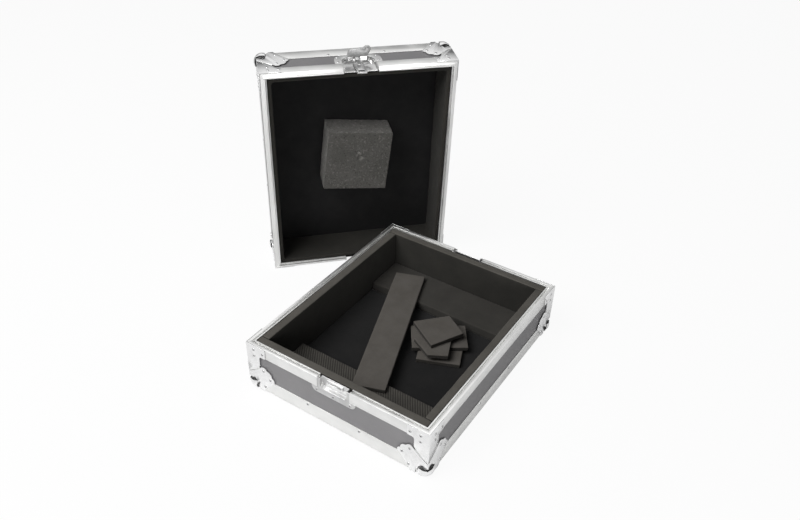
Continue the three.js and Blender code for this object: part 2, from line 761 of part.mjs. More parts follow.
function buildLid() {
  const shell = new THREE.Group();
  piece(shell, 'lid_top_panel', facePanel(), laminate);
  const notchHalf = latchRecessHalf + dishSheet + fit;
  const notchLow = latchRecessLow - dishSheet - fit;
  addShell(shell, 'lid', lidDepth, tongueSection(), lidRailWeb, notchHalf, notchLow);
  piece(shell, 'lid_foam_lining', lidFoamRing(), wallFoam);
  const half = blockSide / 2;
  const foamBlock = block([-half, -half, boardTop + fit], [half, half, boardTop + fit + blockHeight]);
  foamBlock.rotateZ(THREE.MathUtils.degToRad(blockTurn)).translate(blockX, blockY, 0);
  piece(shell, 'lid_foam_block', foamBlock, looseFoam);
  addLatch(sideGroup(shell, Math.PI, halfLength), 'upper', true);
  addLatch(sideGroup(shell, 0, halfLength), 'lower', false);
  return shell;
}

// The lid leans on its ball corners: its rim edge touches the floor at the braces
function standLid(shell) {
  shell.position.set(0, halfLength + plateProud, -lidDepth);
  const tilted = new THREE.Group();
  tilted.rotation.x = Math.PI / 2 + lidLean;
  tilted.add(shell);
  const placed = new THREE.Group();
  placed.rotation.z = THREE.MathUtils.degToRad(lidYaw);
  placed.position.set(lidX, lidY, 0);
  placed.add(tilted);
  return placed;
}

// Moves the whole so that the origin is under its middle
function centred(...halves) {
  const whole = new THREE.Group();
  whole.add(...halves);
  whole.updateMatrixWorld(true);
  const middle = new THREE.Box3().setFromObject(whole, true).getCenter(new THREE.Vector3());
  whole.position.set(-middle.x, -middle.y, 0);
  return whole;
}

export default centred(buildBase(), standLid(buildLid()));
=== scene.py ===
import json
import math

import bmesh
import bpy
from mathutils import Matrix, Vector, noise


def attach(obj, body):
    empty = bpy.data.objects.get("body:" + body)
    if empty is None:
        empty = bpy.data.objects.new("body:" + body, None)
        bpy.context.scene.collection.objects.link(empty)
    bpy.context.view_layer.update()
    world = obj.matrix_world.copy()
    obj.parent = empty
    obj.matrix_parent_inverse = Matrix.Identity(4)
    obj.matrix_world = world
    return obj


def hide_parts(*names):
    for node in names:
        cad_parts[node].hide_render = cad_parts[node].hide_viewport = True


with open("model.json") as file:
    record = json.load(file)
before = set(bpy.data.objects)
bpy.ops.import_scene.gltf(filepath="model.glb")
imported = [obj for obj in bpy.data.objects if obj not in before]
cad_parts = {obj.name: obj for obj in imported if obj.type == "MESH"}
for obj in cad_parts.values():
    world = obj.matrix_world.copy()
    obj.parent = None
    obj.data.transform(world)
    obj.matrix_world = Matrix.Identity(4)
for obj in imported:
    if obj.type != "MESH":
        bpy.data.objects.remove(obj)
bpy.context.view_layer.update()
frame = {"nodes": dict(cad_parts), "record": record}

MM = 0.001

# Sizes and places of the case, in millimetres and degrees, as in the CAD
CASE_WIDTH = 413
CASE_LENGTH = 502
BASE_DEPTH = 112
LID_DEPTH = 95
BALL_PROUD = 6
BASE_X = 140.941
BASE_Y = -92.405
PLATE_PROUD = 1.5
BOARD_TOP = 8.8
BLOCK_TOP = 72.6
WALL_INNER = 10.8
LID_YAW = 46.2
LID_LEAN = 3.1231
LID_X = -281.4
LID_Y = 225.5

CORNERS = {
    "front_left": (-1, -1, 0),
    "front_right": (1, -1, 1),
    "back_right": (1, 1, 2),
    "back_left": (-1, 1, 3),
}


def turn(degrees, axis):
    return Matrix.Rotation(math.radians(degrees), 4, axis)


def shift(x, y, z):
    return Matrix.Translation((x * MM, y * MM, z * MM))


BASE_PLACE = shift(BASE_X, BASE_Y, BALL_PROUD)
LID_PLACE = (
    shift(BASE_X + LID_X, BASE_Y + LID_Y, 0)
    @ turn(LID_YAW, "Z")
    @ turn(90 + LID_LEAN, "X")
    @ shift(0, CASE_LENGTH / 2 + PLATE_PROUD, -LID_DEPTH)
)
SHELLS = {"base": (BASE_PLACE, BASE_DEPTH), "lid": (LID_PLACE, LID_DEPTH)}


def corner_place(corner):
    x, y, quarters = CORNERS[corner]
    return shift(x * CASE_WIDTH / 2, y * CASE_LENGTH / 2, 0) @ turn(90 * quarters, "Z")


def side_place(degrees, distance):
    """X runs along the side, Y inward from its face."""
    return turn(degrees, "Z") @ shift(0, -distance, 0)


# Modelling helpers


def deselect():
    if bpy.context.object and bpy.context.object.mode != "OBJECT":
        bpy.ops.object.mode_set(mode="OBJECT")
    bpy.ops.object.select_all(action="DESELECT")


def pick(*pieces):
    deselect()
    for piece in pieces:
        piece.select_set(True)
    bpy.context.view_layer.objects.active = pieces[0]


def latest(name):
    piece = bpy.context.object
    piece.name = name
    piece.data.name = name
    return piece


def settle(piece):
    """Applies the object's place to its mesh."""
    pick(piece)
    bpy.ops.object.transform_apply(location=True, rotation=True, scale=True)
    return piece


def box_piece(name, low, high):
    deselect()
    bpy.ops.mesh.primitive_cube_add(size=1, location=[(a + b) / 2 * MM for a, b in zip(low, high)])
    piece = latest(name)
    piece.scale = [(b - a) * MM for a, b in zip(low, high)]
    return settle(piece)


def add_modifier(piece, kind, **settings):
    modifier = piece.modifiers.new(kind.lower(), kind)
    for key, value in settings.items():
        setattr(modifier, key, value)
    pick(piece)
    bpy.ops.object.modifier_apply(modifier=modifier.name)
    return piece


def clean_mesh(piece):
    """Merges loose triangles and joins flat faces."""
    pick(piece)
    bpy.ops.object.mode_set(mode="EDIT")
    bpy.ops.mesh.select_all(action="SELECT")
    bpy.ops.mesh.remove_doubles(threshold=2e-6)
    bpy.ops.mesh.dissolve_limited(angle_limit=math.radians(0.5))
    bpy.ops.object.mode_set(mode="OBJECT")
    return piece


def round_edges(piece, width, segments=2, angle=28):
    add_modifier(piece, "BEVEL", width=width * MM, segments=segments, limit_method="ANGLE",
                 angle_limit=math.radians(angle), use_clamp_overlap=True, miter_outer="MITER_ARC")
    return smooth(piece)


def smooth(piece, angle=35):
    pick(piece)
    bpy.ops.object.shade_smooth_by_angle(angle=math.radians(angle))
    return piece


def moved(piece, place):
    """Moves a piece's mesh. A mirrored place turns faces inwards, so they are turned back."""
    piece.data.transform(place)
    if place.determinant() < 0:
        piece.data.flip_normals()
    return piece


def copied(piece, name, place):
    """Another piece like this one, with its own mesh."""
    mesh = piece.data.copy()
    mesh.name = name
    other = bpy.data.objects.new(name, mesh)
    bpy.context.scene.collection.objects.link(other)
    return moved(other, place)


def joined(name, pieces):
    pick(*pieces)
    bpy.ops.object.join()
    return latest(name)


def from_cad(node, name=None):
    """A copy of a CAD piece to be worked on."""
    mesh = frame["nodes"][node].data.copy()
    name = name or f"{node}_finished"
    mesh.name = name
    piece = bpy.data.objects.new(name, mesh)
    bpy.context.scene.collection.objects.link(piece)
    pick(piece)
    bpy.ops.mesh.customdata_custom_splitnormals_clear()
    return clean_mesh(piece)


BODY_OF = {node: body for body, members in frame["record"]["behaviour"]["bodies"].items() for node in members}


def stand_for(piece, node, finish):
    """The piece is shown in place of the CAD node."""
    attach(piece, BODY_OF[node])
    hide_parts(node)
    return dress(piece, finish)


def paint_faces(piece, finish, wanted):
    """Gives a second finish to the faces whose middle is wanted."""
    piece.data.materials.append(finish)
    last = len(piece.data.materials) - 1
    for face in piece.data.polygons:
        if wanted(face.center / MM):
            face.material_index = last
    return piece


def dress(piece, finish):
    piece.data.materials.clear()
    piece.data.materials.append(finish)
    return piece


# Materials


class Shade:
    """A socket of a material, with arithmetic that adds Math nodes."""

    def __init__(self, finish, socket):
        self.finish = finish
        self.socket = socket

    def math(self, operation, first, second):
        return self.finish.add("ShaderNodeMath", {"operation": operation}, {0: first, 1: second})

    def __add__(self, other):
        return self.math("ADD", self, other)

    __radd__ = __add__

    def __rsub__(self, other):
        return self.math("SUBTRACT", other, self)

    def __mul__(self, other):
        return self.math("MULTIPLY", self, other)

    __rmul__ = __mul__


class Finish:
    """A material built from nodes on Object coordinates."""

    def __init__(self, name, **uniform):
        self.material = bpy.data.materials.new(name)
        self.material.use_nodes = True
        self.tree = self.material.node_tree
        self.tree.nodes.clear()
        self.surface = self.tree.nodes.new("ShaderNodeBsdfPrincipled")
        self.output = self.tree.nodes.new("ShaderNodeOutputMaterial")
        self.tree.links.new(self.surface.outputs[0], self.output.inputs[0])
        for socket, value in uniform.items():
            self.surface.inputs[socket.replace("_", " ")].default_value = value
        self.place = self.add("ShaderNodeTexCoord", out="Object")

    def feed(self, socket, value):
        if isinstance(value, Shade):
            self.tree.links.new(value.socket, socket)
        else:
            socket.default_value = value

    def add(self, kind, settings=None, values=None, out=0):
        node = self.tree.nodes.new(kind)
        for key, value in (settings or {}).items():
            setattr(node, key, value)
        for key, value in (values or {}).items():
            self.feed(node.inputs[key], value)
        return Shade(self, node.outputs[out])

    def stretched(self, x=1, y=1, z=1, turned=0):
        values = {"Vector": self.place, "Scale": (x, y, z), "Rotation": (0, 0, math.radians(turned))}
        return self.add("ShaderNodeMapping", {"vector_type": "TEXTURE"}, values)

    def grain(self, scale, detail=3.0, roughness=0.55, where=None, distortion=0.0):
        values = {"Vector": where or self.place, "Scale": scale, "Detail": detail, "Roughness": roughness,
                  "Distortion": distortion}
        return self.add("ShaderNodeTexNoise", None, values, out="Fac")

    def pores(self, scale):
        values = {"Vector": self.place, "Scale": scale}
        return self.add("ShaderNodeTexVoronoi", {"feature": "F1"}, values, out="Distance")

    def ribs(self, pitch, turned):
        """Parallel ribs across X, turned about Z, at a pitch in millimetres."""
        where = self.stretched(turned=turned)
        x = self.add("ShaderNodeSeparateXYZ", None, {0: where}, out="X")
        return self.math_one("SINE", x * (2 * math.pi / (pitch * MM))) * 0.5 + 0.5

    def math_one(self, operation, value):
        return self.add("ShaderNodeMath", {"operation": operation}, {0: value})

    def span(self, value, low, high, to_low=0.0, to_high=1.0):
        """Maps a range onto another, and holds it there."""
        values = {"Value": value, "From Min": low, "From Max": high, "To Min": to_low, "To Max": to_high}
        return self.add("ShaderNodeMapRange", {"clamp": True}, values)

    def mix(self, share, first, second):
        node = self.tree.nodes.new("ShaderNodeMix")
        node.data_type = "RGBA"
        for key, value in ((0, share), (6, first), (7, second)):
            value = (*value, 1) if isinstance(value, tuple) and len(value) == 3 else value
            self.feed(node.inputs[key], value)
        return Shade(self, node.outputs[2])

    def bump(self, height, depth, strength=1.0, over=None):
        values = {"Height": height, "Distance": depth * MM, "Strength": strength}
        if over:
            values["Normal"] = over
        return self.add("ShaderNodeBump", None, values)

    def finish(self, **inputs):
        for socket, value in inputs.items():
            self.feed(self.surface.inputs[socket.replace("_", " ")], value)
        return self.material


def aluminium_finish():
    """Satin extrusion with fine die lines, dull smears and light scratches."""
    f = Finish("aluminium_extrusion", Metallic=1.0)
    broad = f.grain(14, 4, 0.6)
    lines = f.grain(260, 2, 0.5, where=f.stretched(1, 1, 0.03))
    across = f.grain(260, 2, 0.5, where=f.stretched(0.03, 0.03, 1))
    scratch = f.span(f.grain(900, 2, 0.4, where=f.stretched(0.2, 3, 1, 30)), 0.66, 0.75)
    colour = f.mix(f.span(broad, 0.35, 0.7), (0.80, 0.80, 0.79), (0.89, 0.89, 0.88))
    colour = f.mix(scratch * 0.25, colour, (0.60, 0.60, 0.60))
    rough = f.span(broad + lines * 0.3, 0.4, 1.0, 0.34, 0.5)
    height = lines * 0.5 + across * 0.5 + scratch * -0.6
    return f.finish(Base_Color=colour, Roughness=rough, Normal=f.bump(height, 0.012, 0.25))


def steel_finish(name, bright, dull, low, high, waves=0.12):
    """Plated pressing: soft waves from the press, cloudy plating, fine scuffs."""
    f = Finish(name, Metallic=1.0)
    cloud = f.grain(45, 5, 0.6, distortion=0.6)
    wave = f.grain(70, 1, 0.4)
    scuff = f.span(f.grain(700, 3, 0.5, where=f.stretched(3, 0.25, 1, -25)), 0.62, 0.74)
    colour = f.mix(f.span(cloud, 0.35, 0.7), bright, dull)
    colour = f.mix(scuff * 0.2, colour, (0.5, 0.5, 0.5))
    rough = f.span(cloud + scuff * 0.4, 0.35, 0.9, low, high)
    return f.finish(Base_Color=colour, Roughness=rough,
                    Normal=f.bump(wave + scuff * 0.02, waves, 0.3))


def painted_shade_finish():
    """Painted shade: near-black with a faint grain, for the insides of the ball corners' slits and the
    rivets' pin holes, where shade falls.
    """
    f = Finish("painted_black_shade", Metallic=0.0)
    shade_noise = f.grain(400, 3, 0.6)
    colour = f.mix(f.span(shade_noise, 0.35, 0.7), (0.006, 0.006, 0.007), (0.016, 0.016, 0.016))
    return f.finish(Base_Color=colour, Roughness=f.span(shade_noise, 0.35, 0.7, 0.3, 0.5),
                    Normal=f.bump(shade_noise, 0.05, 0.4))


def laminate_finish():
    """Grey plastic laminate with a fine leathery texture, rubbed paler in patches."""
    f = Finish("grey_laminate", Metallic=0.0)
    f.surface.inputs["Specular IOR Level"].default_value = 0.3
    skin = f.grain(1500, 3, 0.6)
    dimple = f.pores(900)
    patch = f.grain(9, 5, 0.65, distortion=0.4)
    rub = f.span(f.grain(240, 3, 0.5, where=f.stretched(2.5, 2.5, 0.4)), 0.6, 0.75)
    colour = f.mix(f.span(patch, 0.3, 0.72), (0.195, 0.190, 0.197), (0.235, 0.230, 0.234))
    colour = f.mix(rub * 0.16, colour, (0.42, 0.41, 0.41))
    colour = f.mix(f.span(skin, 0.3, 0.7) * 0.18, colour, (0.13, 0.13, 0.13))
    rough = f.span(patch + rub * 0.3, 0.3, 0.9, 0.40, 0.58)
    return f.finish(Base_Color=colour, Roughness=rough,
                    Normal=f.bump(dimple * 0.7 + skin * 0.5, 0.08, 0.4))


def foam_finish(name, dark, light, speckle, pore=1100, depth=0.35, ribs=None, fleck=0.25):
    """Open-celled foam: pores in a dull skin, darkened as painted shade, with broad uneven fading."""
    f = Finish(name, Metallic=0.0)
    f.surface.inputs["Sheen Weight"].default_value = 0.04
    f.surface.inputs["Sheen Roughness"].default_value = 0.6
    f.surface.inputs["Specular IOR Level"].default_value = 0.1
    cells = f.span(f.pores(pore), 0.05, 0.42)
    big = f.span(f.pores(pore * 0.38), 0.04, 0.22)
    grain = f.grain(pore * 0.7, 3, 0.6)
    fade = f.grain(22, 4, 0.6)
    colour = f.mix(f.span(fade, 0.3, 0.7), dark, light)
    # The pores and the rib valleys are darkened to this tone: painted shade in the hollows.
    deep = tuple(c * 0.25 for c in dark)
    colour = f.mix(f.span(1 - cells, 0.35, 1.0) * speckle, colour, deep)
    colour = f.mix((1 - big) * speckle * 0.9, colour, deep)
    colour = f.mix(f.span(grain, 0.55, 0.75) * fleck, colour, tuple(min(1, c * 1.9) for c in light))
    height = cells * 0.6 + big * 0.5 + grain * 0.5
    normal = f.bump(height, depth, 0.8)
    if ribs:
        pitch, turned, high = ribs
        wave = f.ribs(pitch, turned)
        # Painted shade in the valleys between the ribs.
        colour = f.mix((1 - wave) * 0.75, colour, deep)
        normal = f.bump(wave, high, 1.0, over=normal)
    rough = f.span(grain, 0.3, 0.7, 0.85, 1.0)
    return f.finish(Base_Color=colour, Roughness=rough, Normal=normal)


def lining_finish():
    """Thin black fleece with lint."""
    f = Finish("black_lining", Metallic=0.0)
    f.surface.inputs["Sheen Weight"].default_value = 0.15
    f.surface.inputs["Specular IOR Level"].default_value = 0.2
    fibre = f.grain(1600, 3, 0.7, where=f.stretched(1, 0.35, 1, 20))
    nap = f.grain(35, 4, 0.6)
    lint = f.span(f.grain(420, 2, 0.5), 0.72, 0.8)
    colour = f.mix(f.span(nap, 0.3, 0.7), (0.0055, 0.0055, 0.0058), (0.0095, 0.0092, 0.0092))
    colour = f.mix(lint * 0.25, colour, (0.05, 0.05, 0.05))
    return f.finish(Base_Color=colour, Roughness=f.span(fibre, 0.3, 0.7, 0.86, 1.0),
                    Normal=f.bump(fibre, 0.12, 0.6))


def moulding_finish():
    """Black moulded grip, pebbled, a little polished by hands."""
    f = Finish("black_moulding", Metallic=0.0)
    pebble = f.pores(750)
    worn = f.grain(30, 3, 0.6)
    colour = f.mix(f.span(worn, 0.35, 0.7), (0.016, 0.016, 0.017), (0.032, 0.032, 0.032))
    rough = f.span(worn, 0.35, 0.7, 0.58, 0.38)
    return f.finish(Base_Color=colour, Roughness=rough, Normal=f.bump(pebble, 0.12, 0.5))


FLOOR_SHEEN = 0.42
FLOOR_GLOW = 0.94


def floor_finish():
    """Pale floor: white to the camera and in reflections, and it keeps soft shadows."""
    f = Finish("pale_floor", Roughness=0.9, Metallic=0.0)
    f.surface.inputs["Specular IOR Level"].default_value = 0.0
    f.surface.inputs["Base Color"].default_value = (0.82, 0.82, 0.82, 1)
    seen = f.add("ShaderNodeLightPath", out="Is Camera Ray")
    glossy = f.add("ShaderNodeLightPath", out="Is Glossy Ray")
    through = f.add("ShaderNodeLightPath", out="Is Transmission Ray")
    glow = f.tree.nodes.new("ShaderNodeEmission")
    glow.inputs["Color"].default_value = (1, 1, 1, 1)
    glow.inputs["Strength"].default_value = 1.0
    blend = f.tree.nodes.new("ShaderNodeMixShader")
    direct = f.add("ShaderNodeMath", {"operation": "ADD", "use_clamp": True},
                   {0: seen + glossy * FLOOR_SHEEN, 1: through})
    f.feed(blend.inputs[0], direct * FLOOR_GLOW)
    f.tree.links.new(f.surface.outputs[0], blend.inputs[1])
    f.tree.links.new(glow.outputs[0], blend.inputs[2])
    f.tree.links.new(blend.outputs[0], f.output.inputs[0])
    return f.material


aluminium = aluminium_finish()
corner_steel = steel_finish("corner_steel", (0.93, 0.93, 0.93), (0.84, 0.84, 0.84), 0.16, 0.32, 0.10)
rivet_steel = steel_finish("rivet_steel", (0.62, 0.62, 0.62), (0.48, 0.48, 0.48), 0.2, 0.38, 0.05)
# Near-black painted shade for the slits and pin holes
shade_in_hollows = painted_shade_finish()
latch_chrome = steel_finish("latch_chrome", (0.76, 0.76, 0.755), (0.64, 0.64, 0.64), 0.16, 0.28, 0.03)
keeper_plate = steel_finish("keeper_plate", (0.66, 0.66, 0.655), (0.54, 0.54, 0.54), 0.36, 0.48, 0.03)
wing_steel = steel_finish("wing_steel", (0.36, 0.36, 0.36), (0.28, 0.28, 0.28), 0.28, 0.42, 0.03)
laminate = laminate_finish()
wall_foam = foam_finish("wall_foam", (0.026, 0.025, 0.022), (0.035, 0.033, 0.029), 0.3)
# Lighter foam for the tops of the base's walls: partly the cut face, partly painted light, as lit tops beside
# the darker inner faces
cut_lit_top_foam = foam_finish("cut_lit_top_foam", (0.082, 0.077, 0.068), (0.107, 0.100, 0.089), 0.3)
ribbed_foam = foam_finish("ribbed_foam", (0.070, 0.066, 0.059), (0.094, 0.088, 0.078), 0.3,
                         ribs=(4.7, 33, 0.5))
ledge_foam = foam_finish("ledge_foam", (0.040, 0.038, 0.034), (0.052, 0.049, 0.044), 0.3)
loose_foam = foam_finish("loose_foam", (0.087, 0.0795, 0.071), (0.112, 0.104, 0.094), 0.25, 1300, 0.2)
# Darker foam for the sides of the loose pieces: painted shade
loose_side_shade = foam_finish("loose_side_shade", (0.038, 0.035, 0.031), (0.050, 0.046, 0.041), 0.3, 1300, 0.2)
# Lighter, coarser foam for the block's sides than for its face
block_sides_foam = foam_finish("block_sides_foam", (0.150, 0.146, 0.136), (0.200, 0.194, 0.182), 0.95,
                             260, 1.0, fleck=0.9)
block_foam = foam_finish("block_foam", (0.076, 0.074, 0.068), (0.104, 0.100, 0.093), 0.9,
                         300, 0.9, fleck=0.9)
lining = lining_finish()
moulding = moulding_finish()


# Ball corners


BALL_RADIUS = 18
BALL_CENTRE = 12
SLIT_CENTRE = 21
SLIT_REACH = 16
SLIT_HALF_HEIGHT = 4
SLIT_RIM = 1.25
BALL_SKIN = 0.07
PLATE_SKIN = 0.06
# How far inside and outside its radius a face may reach and still be the ball's
BALL_BAND = (0.25, 0.1)

# Rivets: half the section of one, from its axis out, then places along and up a face
RIVET_PROFILE = ((0, 0.1), (1.0, 0.1), (1.15, 0.8), (1.5, 1.0), (2.2, 0.92), (2.8, 0.6),
                 (3.15, 0.2), (3.2, -0.1))
RIVET_STEPS = 18
PIN_RADIUS = 1.12
PIN_TOP = 0.6
PLATE_RIVETS = ((38, 54), (54, 38), (39, 13))
BRACE_RIVETS = ((17, 27), (17, 12), (39, 14))
ANGLE_RIVETS = ((-62, 26, 0), (58, 26, 0))
LATCH_RIVETS = ((42.5, 63), (41.5, 40.5))
KEEPER_RIVETS = (-38, 0, 38)
KEEPER_RIVET_HEIGHT = 80.5
DISH_SINK = -0.3
HANDLE_SPREAD = 65
HANDLE_HEIGHT = 71
BRACKET_RIVETS = ((-7.5, -10), (-7.5, 10), (7.5, -10), (7.5, 10))
BRACKET_PROUD = 0.5


def in_slit(point):
    """Whether a place on the ball corner is on the wall or rim of one of its slits, where shade is painted.
    """
    from_ball = (point - Vector([BALL_CENTRE] * 3)).length
    if abs(from_ball - BALL_RADIUS) < BALL_SKIN or abs(min(point) + PLATE_PROUD) < PLATE_SKIN:
        return False
    for axis in range(3):
        across = [value / SLIT_REACH for value in point]
        across[axis] = (point[axis] - SLIT_CENTRE) / SLIT_HALF_HEIGHT
        if sum(value * value for value in across) < SLIT_RIM:
            return True
    return False


def make_ball_corner():
    """The pressed corner with a smooth ball and rounded edges, at the origin."""
    piece = from_cad("base_ball_corner_front_left", "ball_corner")
    moved(piece, (BASE_PLACE @ corner_place("front_left")).inverted())
    round_edges(piece, 0.35, 2, 38)
    centre = Vector([BALL_CENTRE * MM] * 3)
    pick(piece)
    bpy.ops.object.mode_set(mode="EDIT")
    bpy.ops.mesh.select_all(action="DESELECT")
    mesh = bmesh.from_edit_mesh(piece.data)
    for face in mesh.faces:
        reach = [(v.co - centre).length / MM for v in face.verts]
        if min(reach) > BALL_RADIUS - BALL_BAND[0] and max(reach) < BALL_RADIUS + BALL_BAND[1]:
            face.select_set(True)
    bmesh.update_edit_mesh(piece.data)
    bpy.ops.mesh.subdivide(number_cuts=3)
    mesh = bmesh.from_edit_mesh(piece.data)
    for vertex in {v for face in mesh.faces if face.select for v in face.verts}:
        vertex.co = centre + (vertex.co - centre).normalized() * BALL_RADIUS * MM
    bmesh.update_edit_mesh(piece.data)
    bpy.ops.object.mode_set(mode="OBJECT")
    smooth(piece, 35)
    # The slits' walls and rims are painted near-black: painted shade inside the pressing.
    return paint_faces(dress(piece, corner_steel), shade_in_hollows, in_slit)


def make_rivet():
    """A domed rivet on Z 0 with a pin hole in its head."""
    deselect()
    bpy.ops.mesh.primitive_circle_add(vertices=len(RIVET_PROFILE), radius=MM)
    piece = latest("rivet")
    pick(piece)
    bpy.ops.object.mode_set(mode="EDIT")
    mesh = bmesh.from_edit_mesh(piece.data)
    mesh.edges.ensure_lookup_table()
    mesh.verts.ensure_lookup_table()
    for vertex, (x, z) in zip(mesh.verts, RIVET_PROFILE):
        vertex.co = (x * MM, 0, z * MM)
    closing = [e for e in mesh.edges if {v.index for v in e.verts} == {0, len(RIVET_PROFILE) - 1}]
    bmesh.ops.delete(mesh, geom=closing, context="EDGES")
    bmesh.update_edit_mesh(piece.data)
    bpy.ops.mesh.select_all(action="SELECT")
    bpy.ops.mesh.spin(steps=RIVET_STEPS, angle=2 * math.pi, center=(0, 0, 0), axis=(0, 0, 1))
    bpy.ops.mesh.select_all(action="SELECT")
    bpy.ops.mesh.remove_doubles(threshold=1e-6)
    bpy.ops.mesh.select_all(action="DESELECT")
    bpy.ops.mesh.select_non_manifold()
    bpy.ops.mesh.edge_face_add()
    bpy.ops.mesh.select_all(action="SELECT")
    bpy.ops.mesh.normals_make_consistent(inside=False)
    bpy.ops.object.mode_set(mode="OBJECT")
    smooth(piece, 40)
    dress(piece, rivet_steel)
    # The pin hole is painted near-black: painted shade in the recess.
    return paint_faces(piece, shade_in_hollows, lambda point: point.xy.length < PIN_RADIUS and point.z < PIN_TOP)


# Places on a corner's three faces: Z outward, X along the face. The last two are mirrored.
FACE_OUT = Matrix(((1, 0, 0, 0), (0, 0, -1, -PLATE_PROUD * MM), (0, 1, 0, 0), (0, 0, 0, 1)))
OTHER_FACE = Matrix(((0, 0, -1, -PLATE_PROUD * MM), (1, 0, 0, 0), (0, 1, 0, 0), (0, 0, 0, 1)))
UNDER_FACE = Matrix(((1, 0, 0, 0), (0, 1, 0, 0), (0, 0, -1, -PLATE_PROUD * MM), (0, 0, 0, 1)))


def add_corners(prefix, ball, rivet):
    place, depth = SHELLS[prefix]
    ball_rivets = []
    brace_rivets = []
    for corner in CORNERS:
        at = place @ corner_place(corner)
        node = f"{prefix}_ball_corner_{corner}"
        pressed = copied(ball, f"{node}_pressed", at)
        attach(pressed, BODY_OF[node])
        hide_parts(node)
        for face in (FACE_OUT, OTHER_FACE, UNDER_FACE):
            for x, y in PLATE_RIVETS:
                ball_rivets.append(copied(rivet, "rivet", at @ face @ shift(x, y, 0)))
        node = f"{prefix}_corner_brace_{corner}"
        brace = round_edges(from_cad(node), 0.4, 2)
        stand_for(brace, node, corner_steel)
        for face in (FACE_OUT, OTHER_FACE):
            for x, below_rim in BRACE_RIVETS:
                brace_rivets.append(copied(rivet, "rivet", at @ face @ shift(x, depth - below_rim, 0)))
    for kind, rivets in (("ball", ball_rivets), ("brace", brace_rivets)):
        group = joined(f"{prefix}_{kind}_rivets", rivets)
        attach(group, prefix)


def add_frame_metal(prefix):
    for node in (f"{prefix}_rim_left", f"{prefix}_rim_right"):
        stand_for(round_edges(from_cad(node), 0.5, 2), node, aluminium)
    angles = f"{prefix}_edge_angles"
    stand_for(round_edges(from_cad(angles), 0.45, 2), angles, aluminium)


def add_side_rivets(rivet, name, body, place, points):
    rivets = [copied(rivet, "rivet", place @ turn(90, "X") @ shift(u, w, out)) for u, w, out in points]
    group = joined(name, rivets)
    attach(group, body)


def add_angle_rivets(rivet):
    """Two rivets through each edge angle, on every side."""
    for prefix, (place, _) in SHELLS.items():
        for name, degrees, distance in (("front", 0, CASE_LENGTH / 2), ("right", 90, CASE_WIDTH / 2),
                                        ("back", 180, CASE_LENGTH / 2), ("left", -90, CASE_WIDTH / 2)):
            at = place @ side_place(degrees, distance)
            add_side_rivets(rivet, f"{prefix}_angle_rivets_{name}", prefix, at, ANGLE_RIVETS)


def add_latches(rivet):
    for side, degrees in (("upper", 180), ("lower", 0)):
        place = LID_PLACE @ side_place(degrees, CASE_LENGTH / 2)
        for node, width, finish, slot in (
            (f"latch_dish_{side}", 0.5, latch_chrome, "chrome"),
            (f"latch_spindle_{side}", 0.3, latch_chrome, "chrome"),
            (f"latch_hook_{side}", 0.35, latch_chrome, "chrome"),
            (f"latch_wing_{side}", 0.5, wing_steel, "wing_steel"),
        ):
            stand_for(round_edges(from_cad(node), width, 3), node, finish)
        points = [(u * s, w, DISH_SINK) for s in (-1, 1) for u, w in LATCH_RIVETS]
        add_side_rivets(rivet, f"latch_rivets_{side}", "lid", place, points)


def add_keepers(rivet):
    for side, degrees in (("front", 0), ("back", 180)):
        place = BASE_PLACE @ side_place(degrees, CASE_LENGTH / 2)
        node = f"keeper_dish_{side}"
        stand_for(round_edges(from_cad(node), 0.5, 3), node, keeper_plate)
        points = [(u, KEEPER_RIVET_HEIGHT, DISH_SINK) for u in KEEPER_RIVETS]
        add_side_rivets(rivet, f"keeper_rivets_{side}", "base", place, points)


def add_handle(rivet):
    for node in ("handle_bracket_front", "handle_bracket_back"):
        stand_for(round_edges(from_cad(node), 0.6, 3), node, latch_chrome)
    place = BASE_PLACE @ side_place(-90, CASE_WIDTH / 2)
    points = [(HANDLE_SPREAD * s + u, HANDLE_HEIGHT + w, BRACKET_PROUD)
              for s in (-1, 1) for u, w in BRACKET_RIVETS]
    add_side_rivets(rivet, "handle_rivets", "base", place, points)
    stand_for(round_edges(from_cad("handle_grip"), 1.2, 4), "handle_grip", moulding)


# Foam


FOAM_SHRINK = 0.3
# How far from the top and bottom the painted shade on a loose piece's sides begins
SHADED_SIDE_MARGIN = 1.4
# Each dent's place on the block, its reach and its depth
BLOCK_DENTS = ((-1, 35, 4, 3), (4, 20, 5.5, 4))
DENT_ZONE = 3
BLOCK_SIDE = 2


def waver(piece, height, reach, seed):
    """Small uneven waves over a cut foam surface."""
    offset = Vector((seed * 3.1, seed * 1.7, seed * 2.3))
    pushes = []
    for vertex in piece.data.vertices:
        push = noise.noise(vertex.co / (reach * MM) + offset)
        fine = noise.noise(vertex.co / (reach * 0.2 * MM) + offset)
        pushes.append((push + 0.35 * fine) * height)
    return push_out(piece, pushes)


def foam_from(node, voxel, height, reach, seed, edge=1.3):
    """A cut foam piece in the space of its CAD solid, with softened edges."""
    piece = from_cad(node, f"{node}_cut")
    add_modifier(piece, "BEVEL", width=edge * MM, segments=3, limit_method="ANGLE",
                 angle_limit=math.radians(40), use_clamp_overlap=True)
    add_modifier(piece, "REMESH", mode="VOXEL", voxel_size=voxel * MM, adaptivity=0.0)
    add_modifier(piece, "SMOOTH", factor=0.5, iterations=2)
    push_out(piece, [-FOAM_SHRINK] * len(piece.data.vertices))
    waver(piece, height, reach, seed)
    pick(piece)
    bpy.ops.object.shade_smooth()
    return piece


def press_dents(piece, to_lid):
    """The spindle and the record label have left small dents in the lid's block."""
    pushes = []
    for vertex in piece.data.vertices:
        place = to_lid @ vertex.co / MM
        near = [math.exp(-((place.x - x) ** 2 + (place.y - y) ** 2) / reach ** 2) * deep
                for x, y, reach, deep in BLOCK_DENTS]
        pushes.append(-sum(near) if place.z > -DENT_ZONE else 0)
    return push_out(piece, pushes)


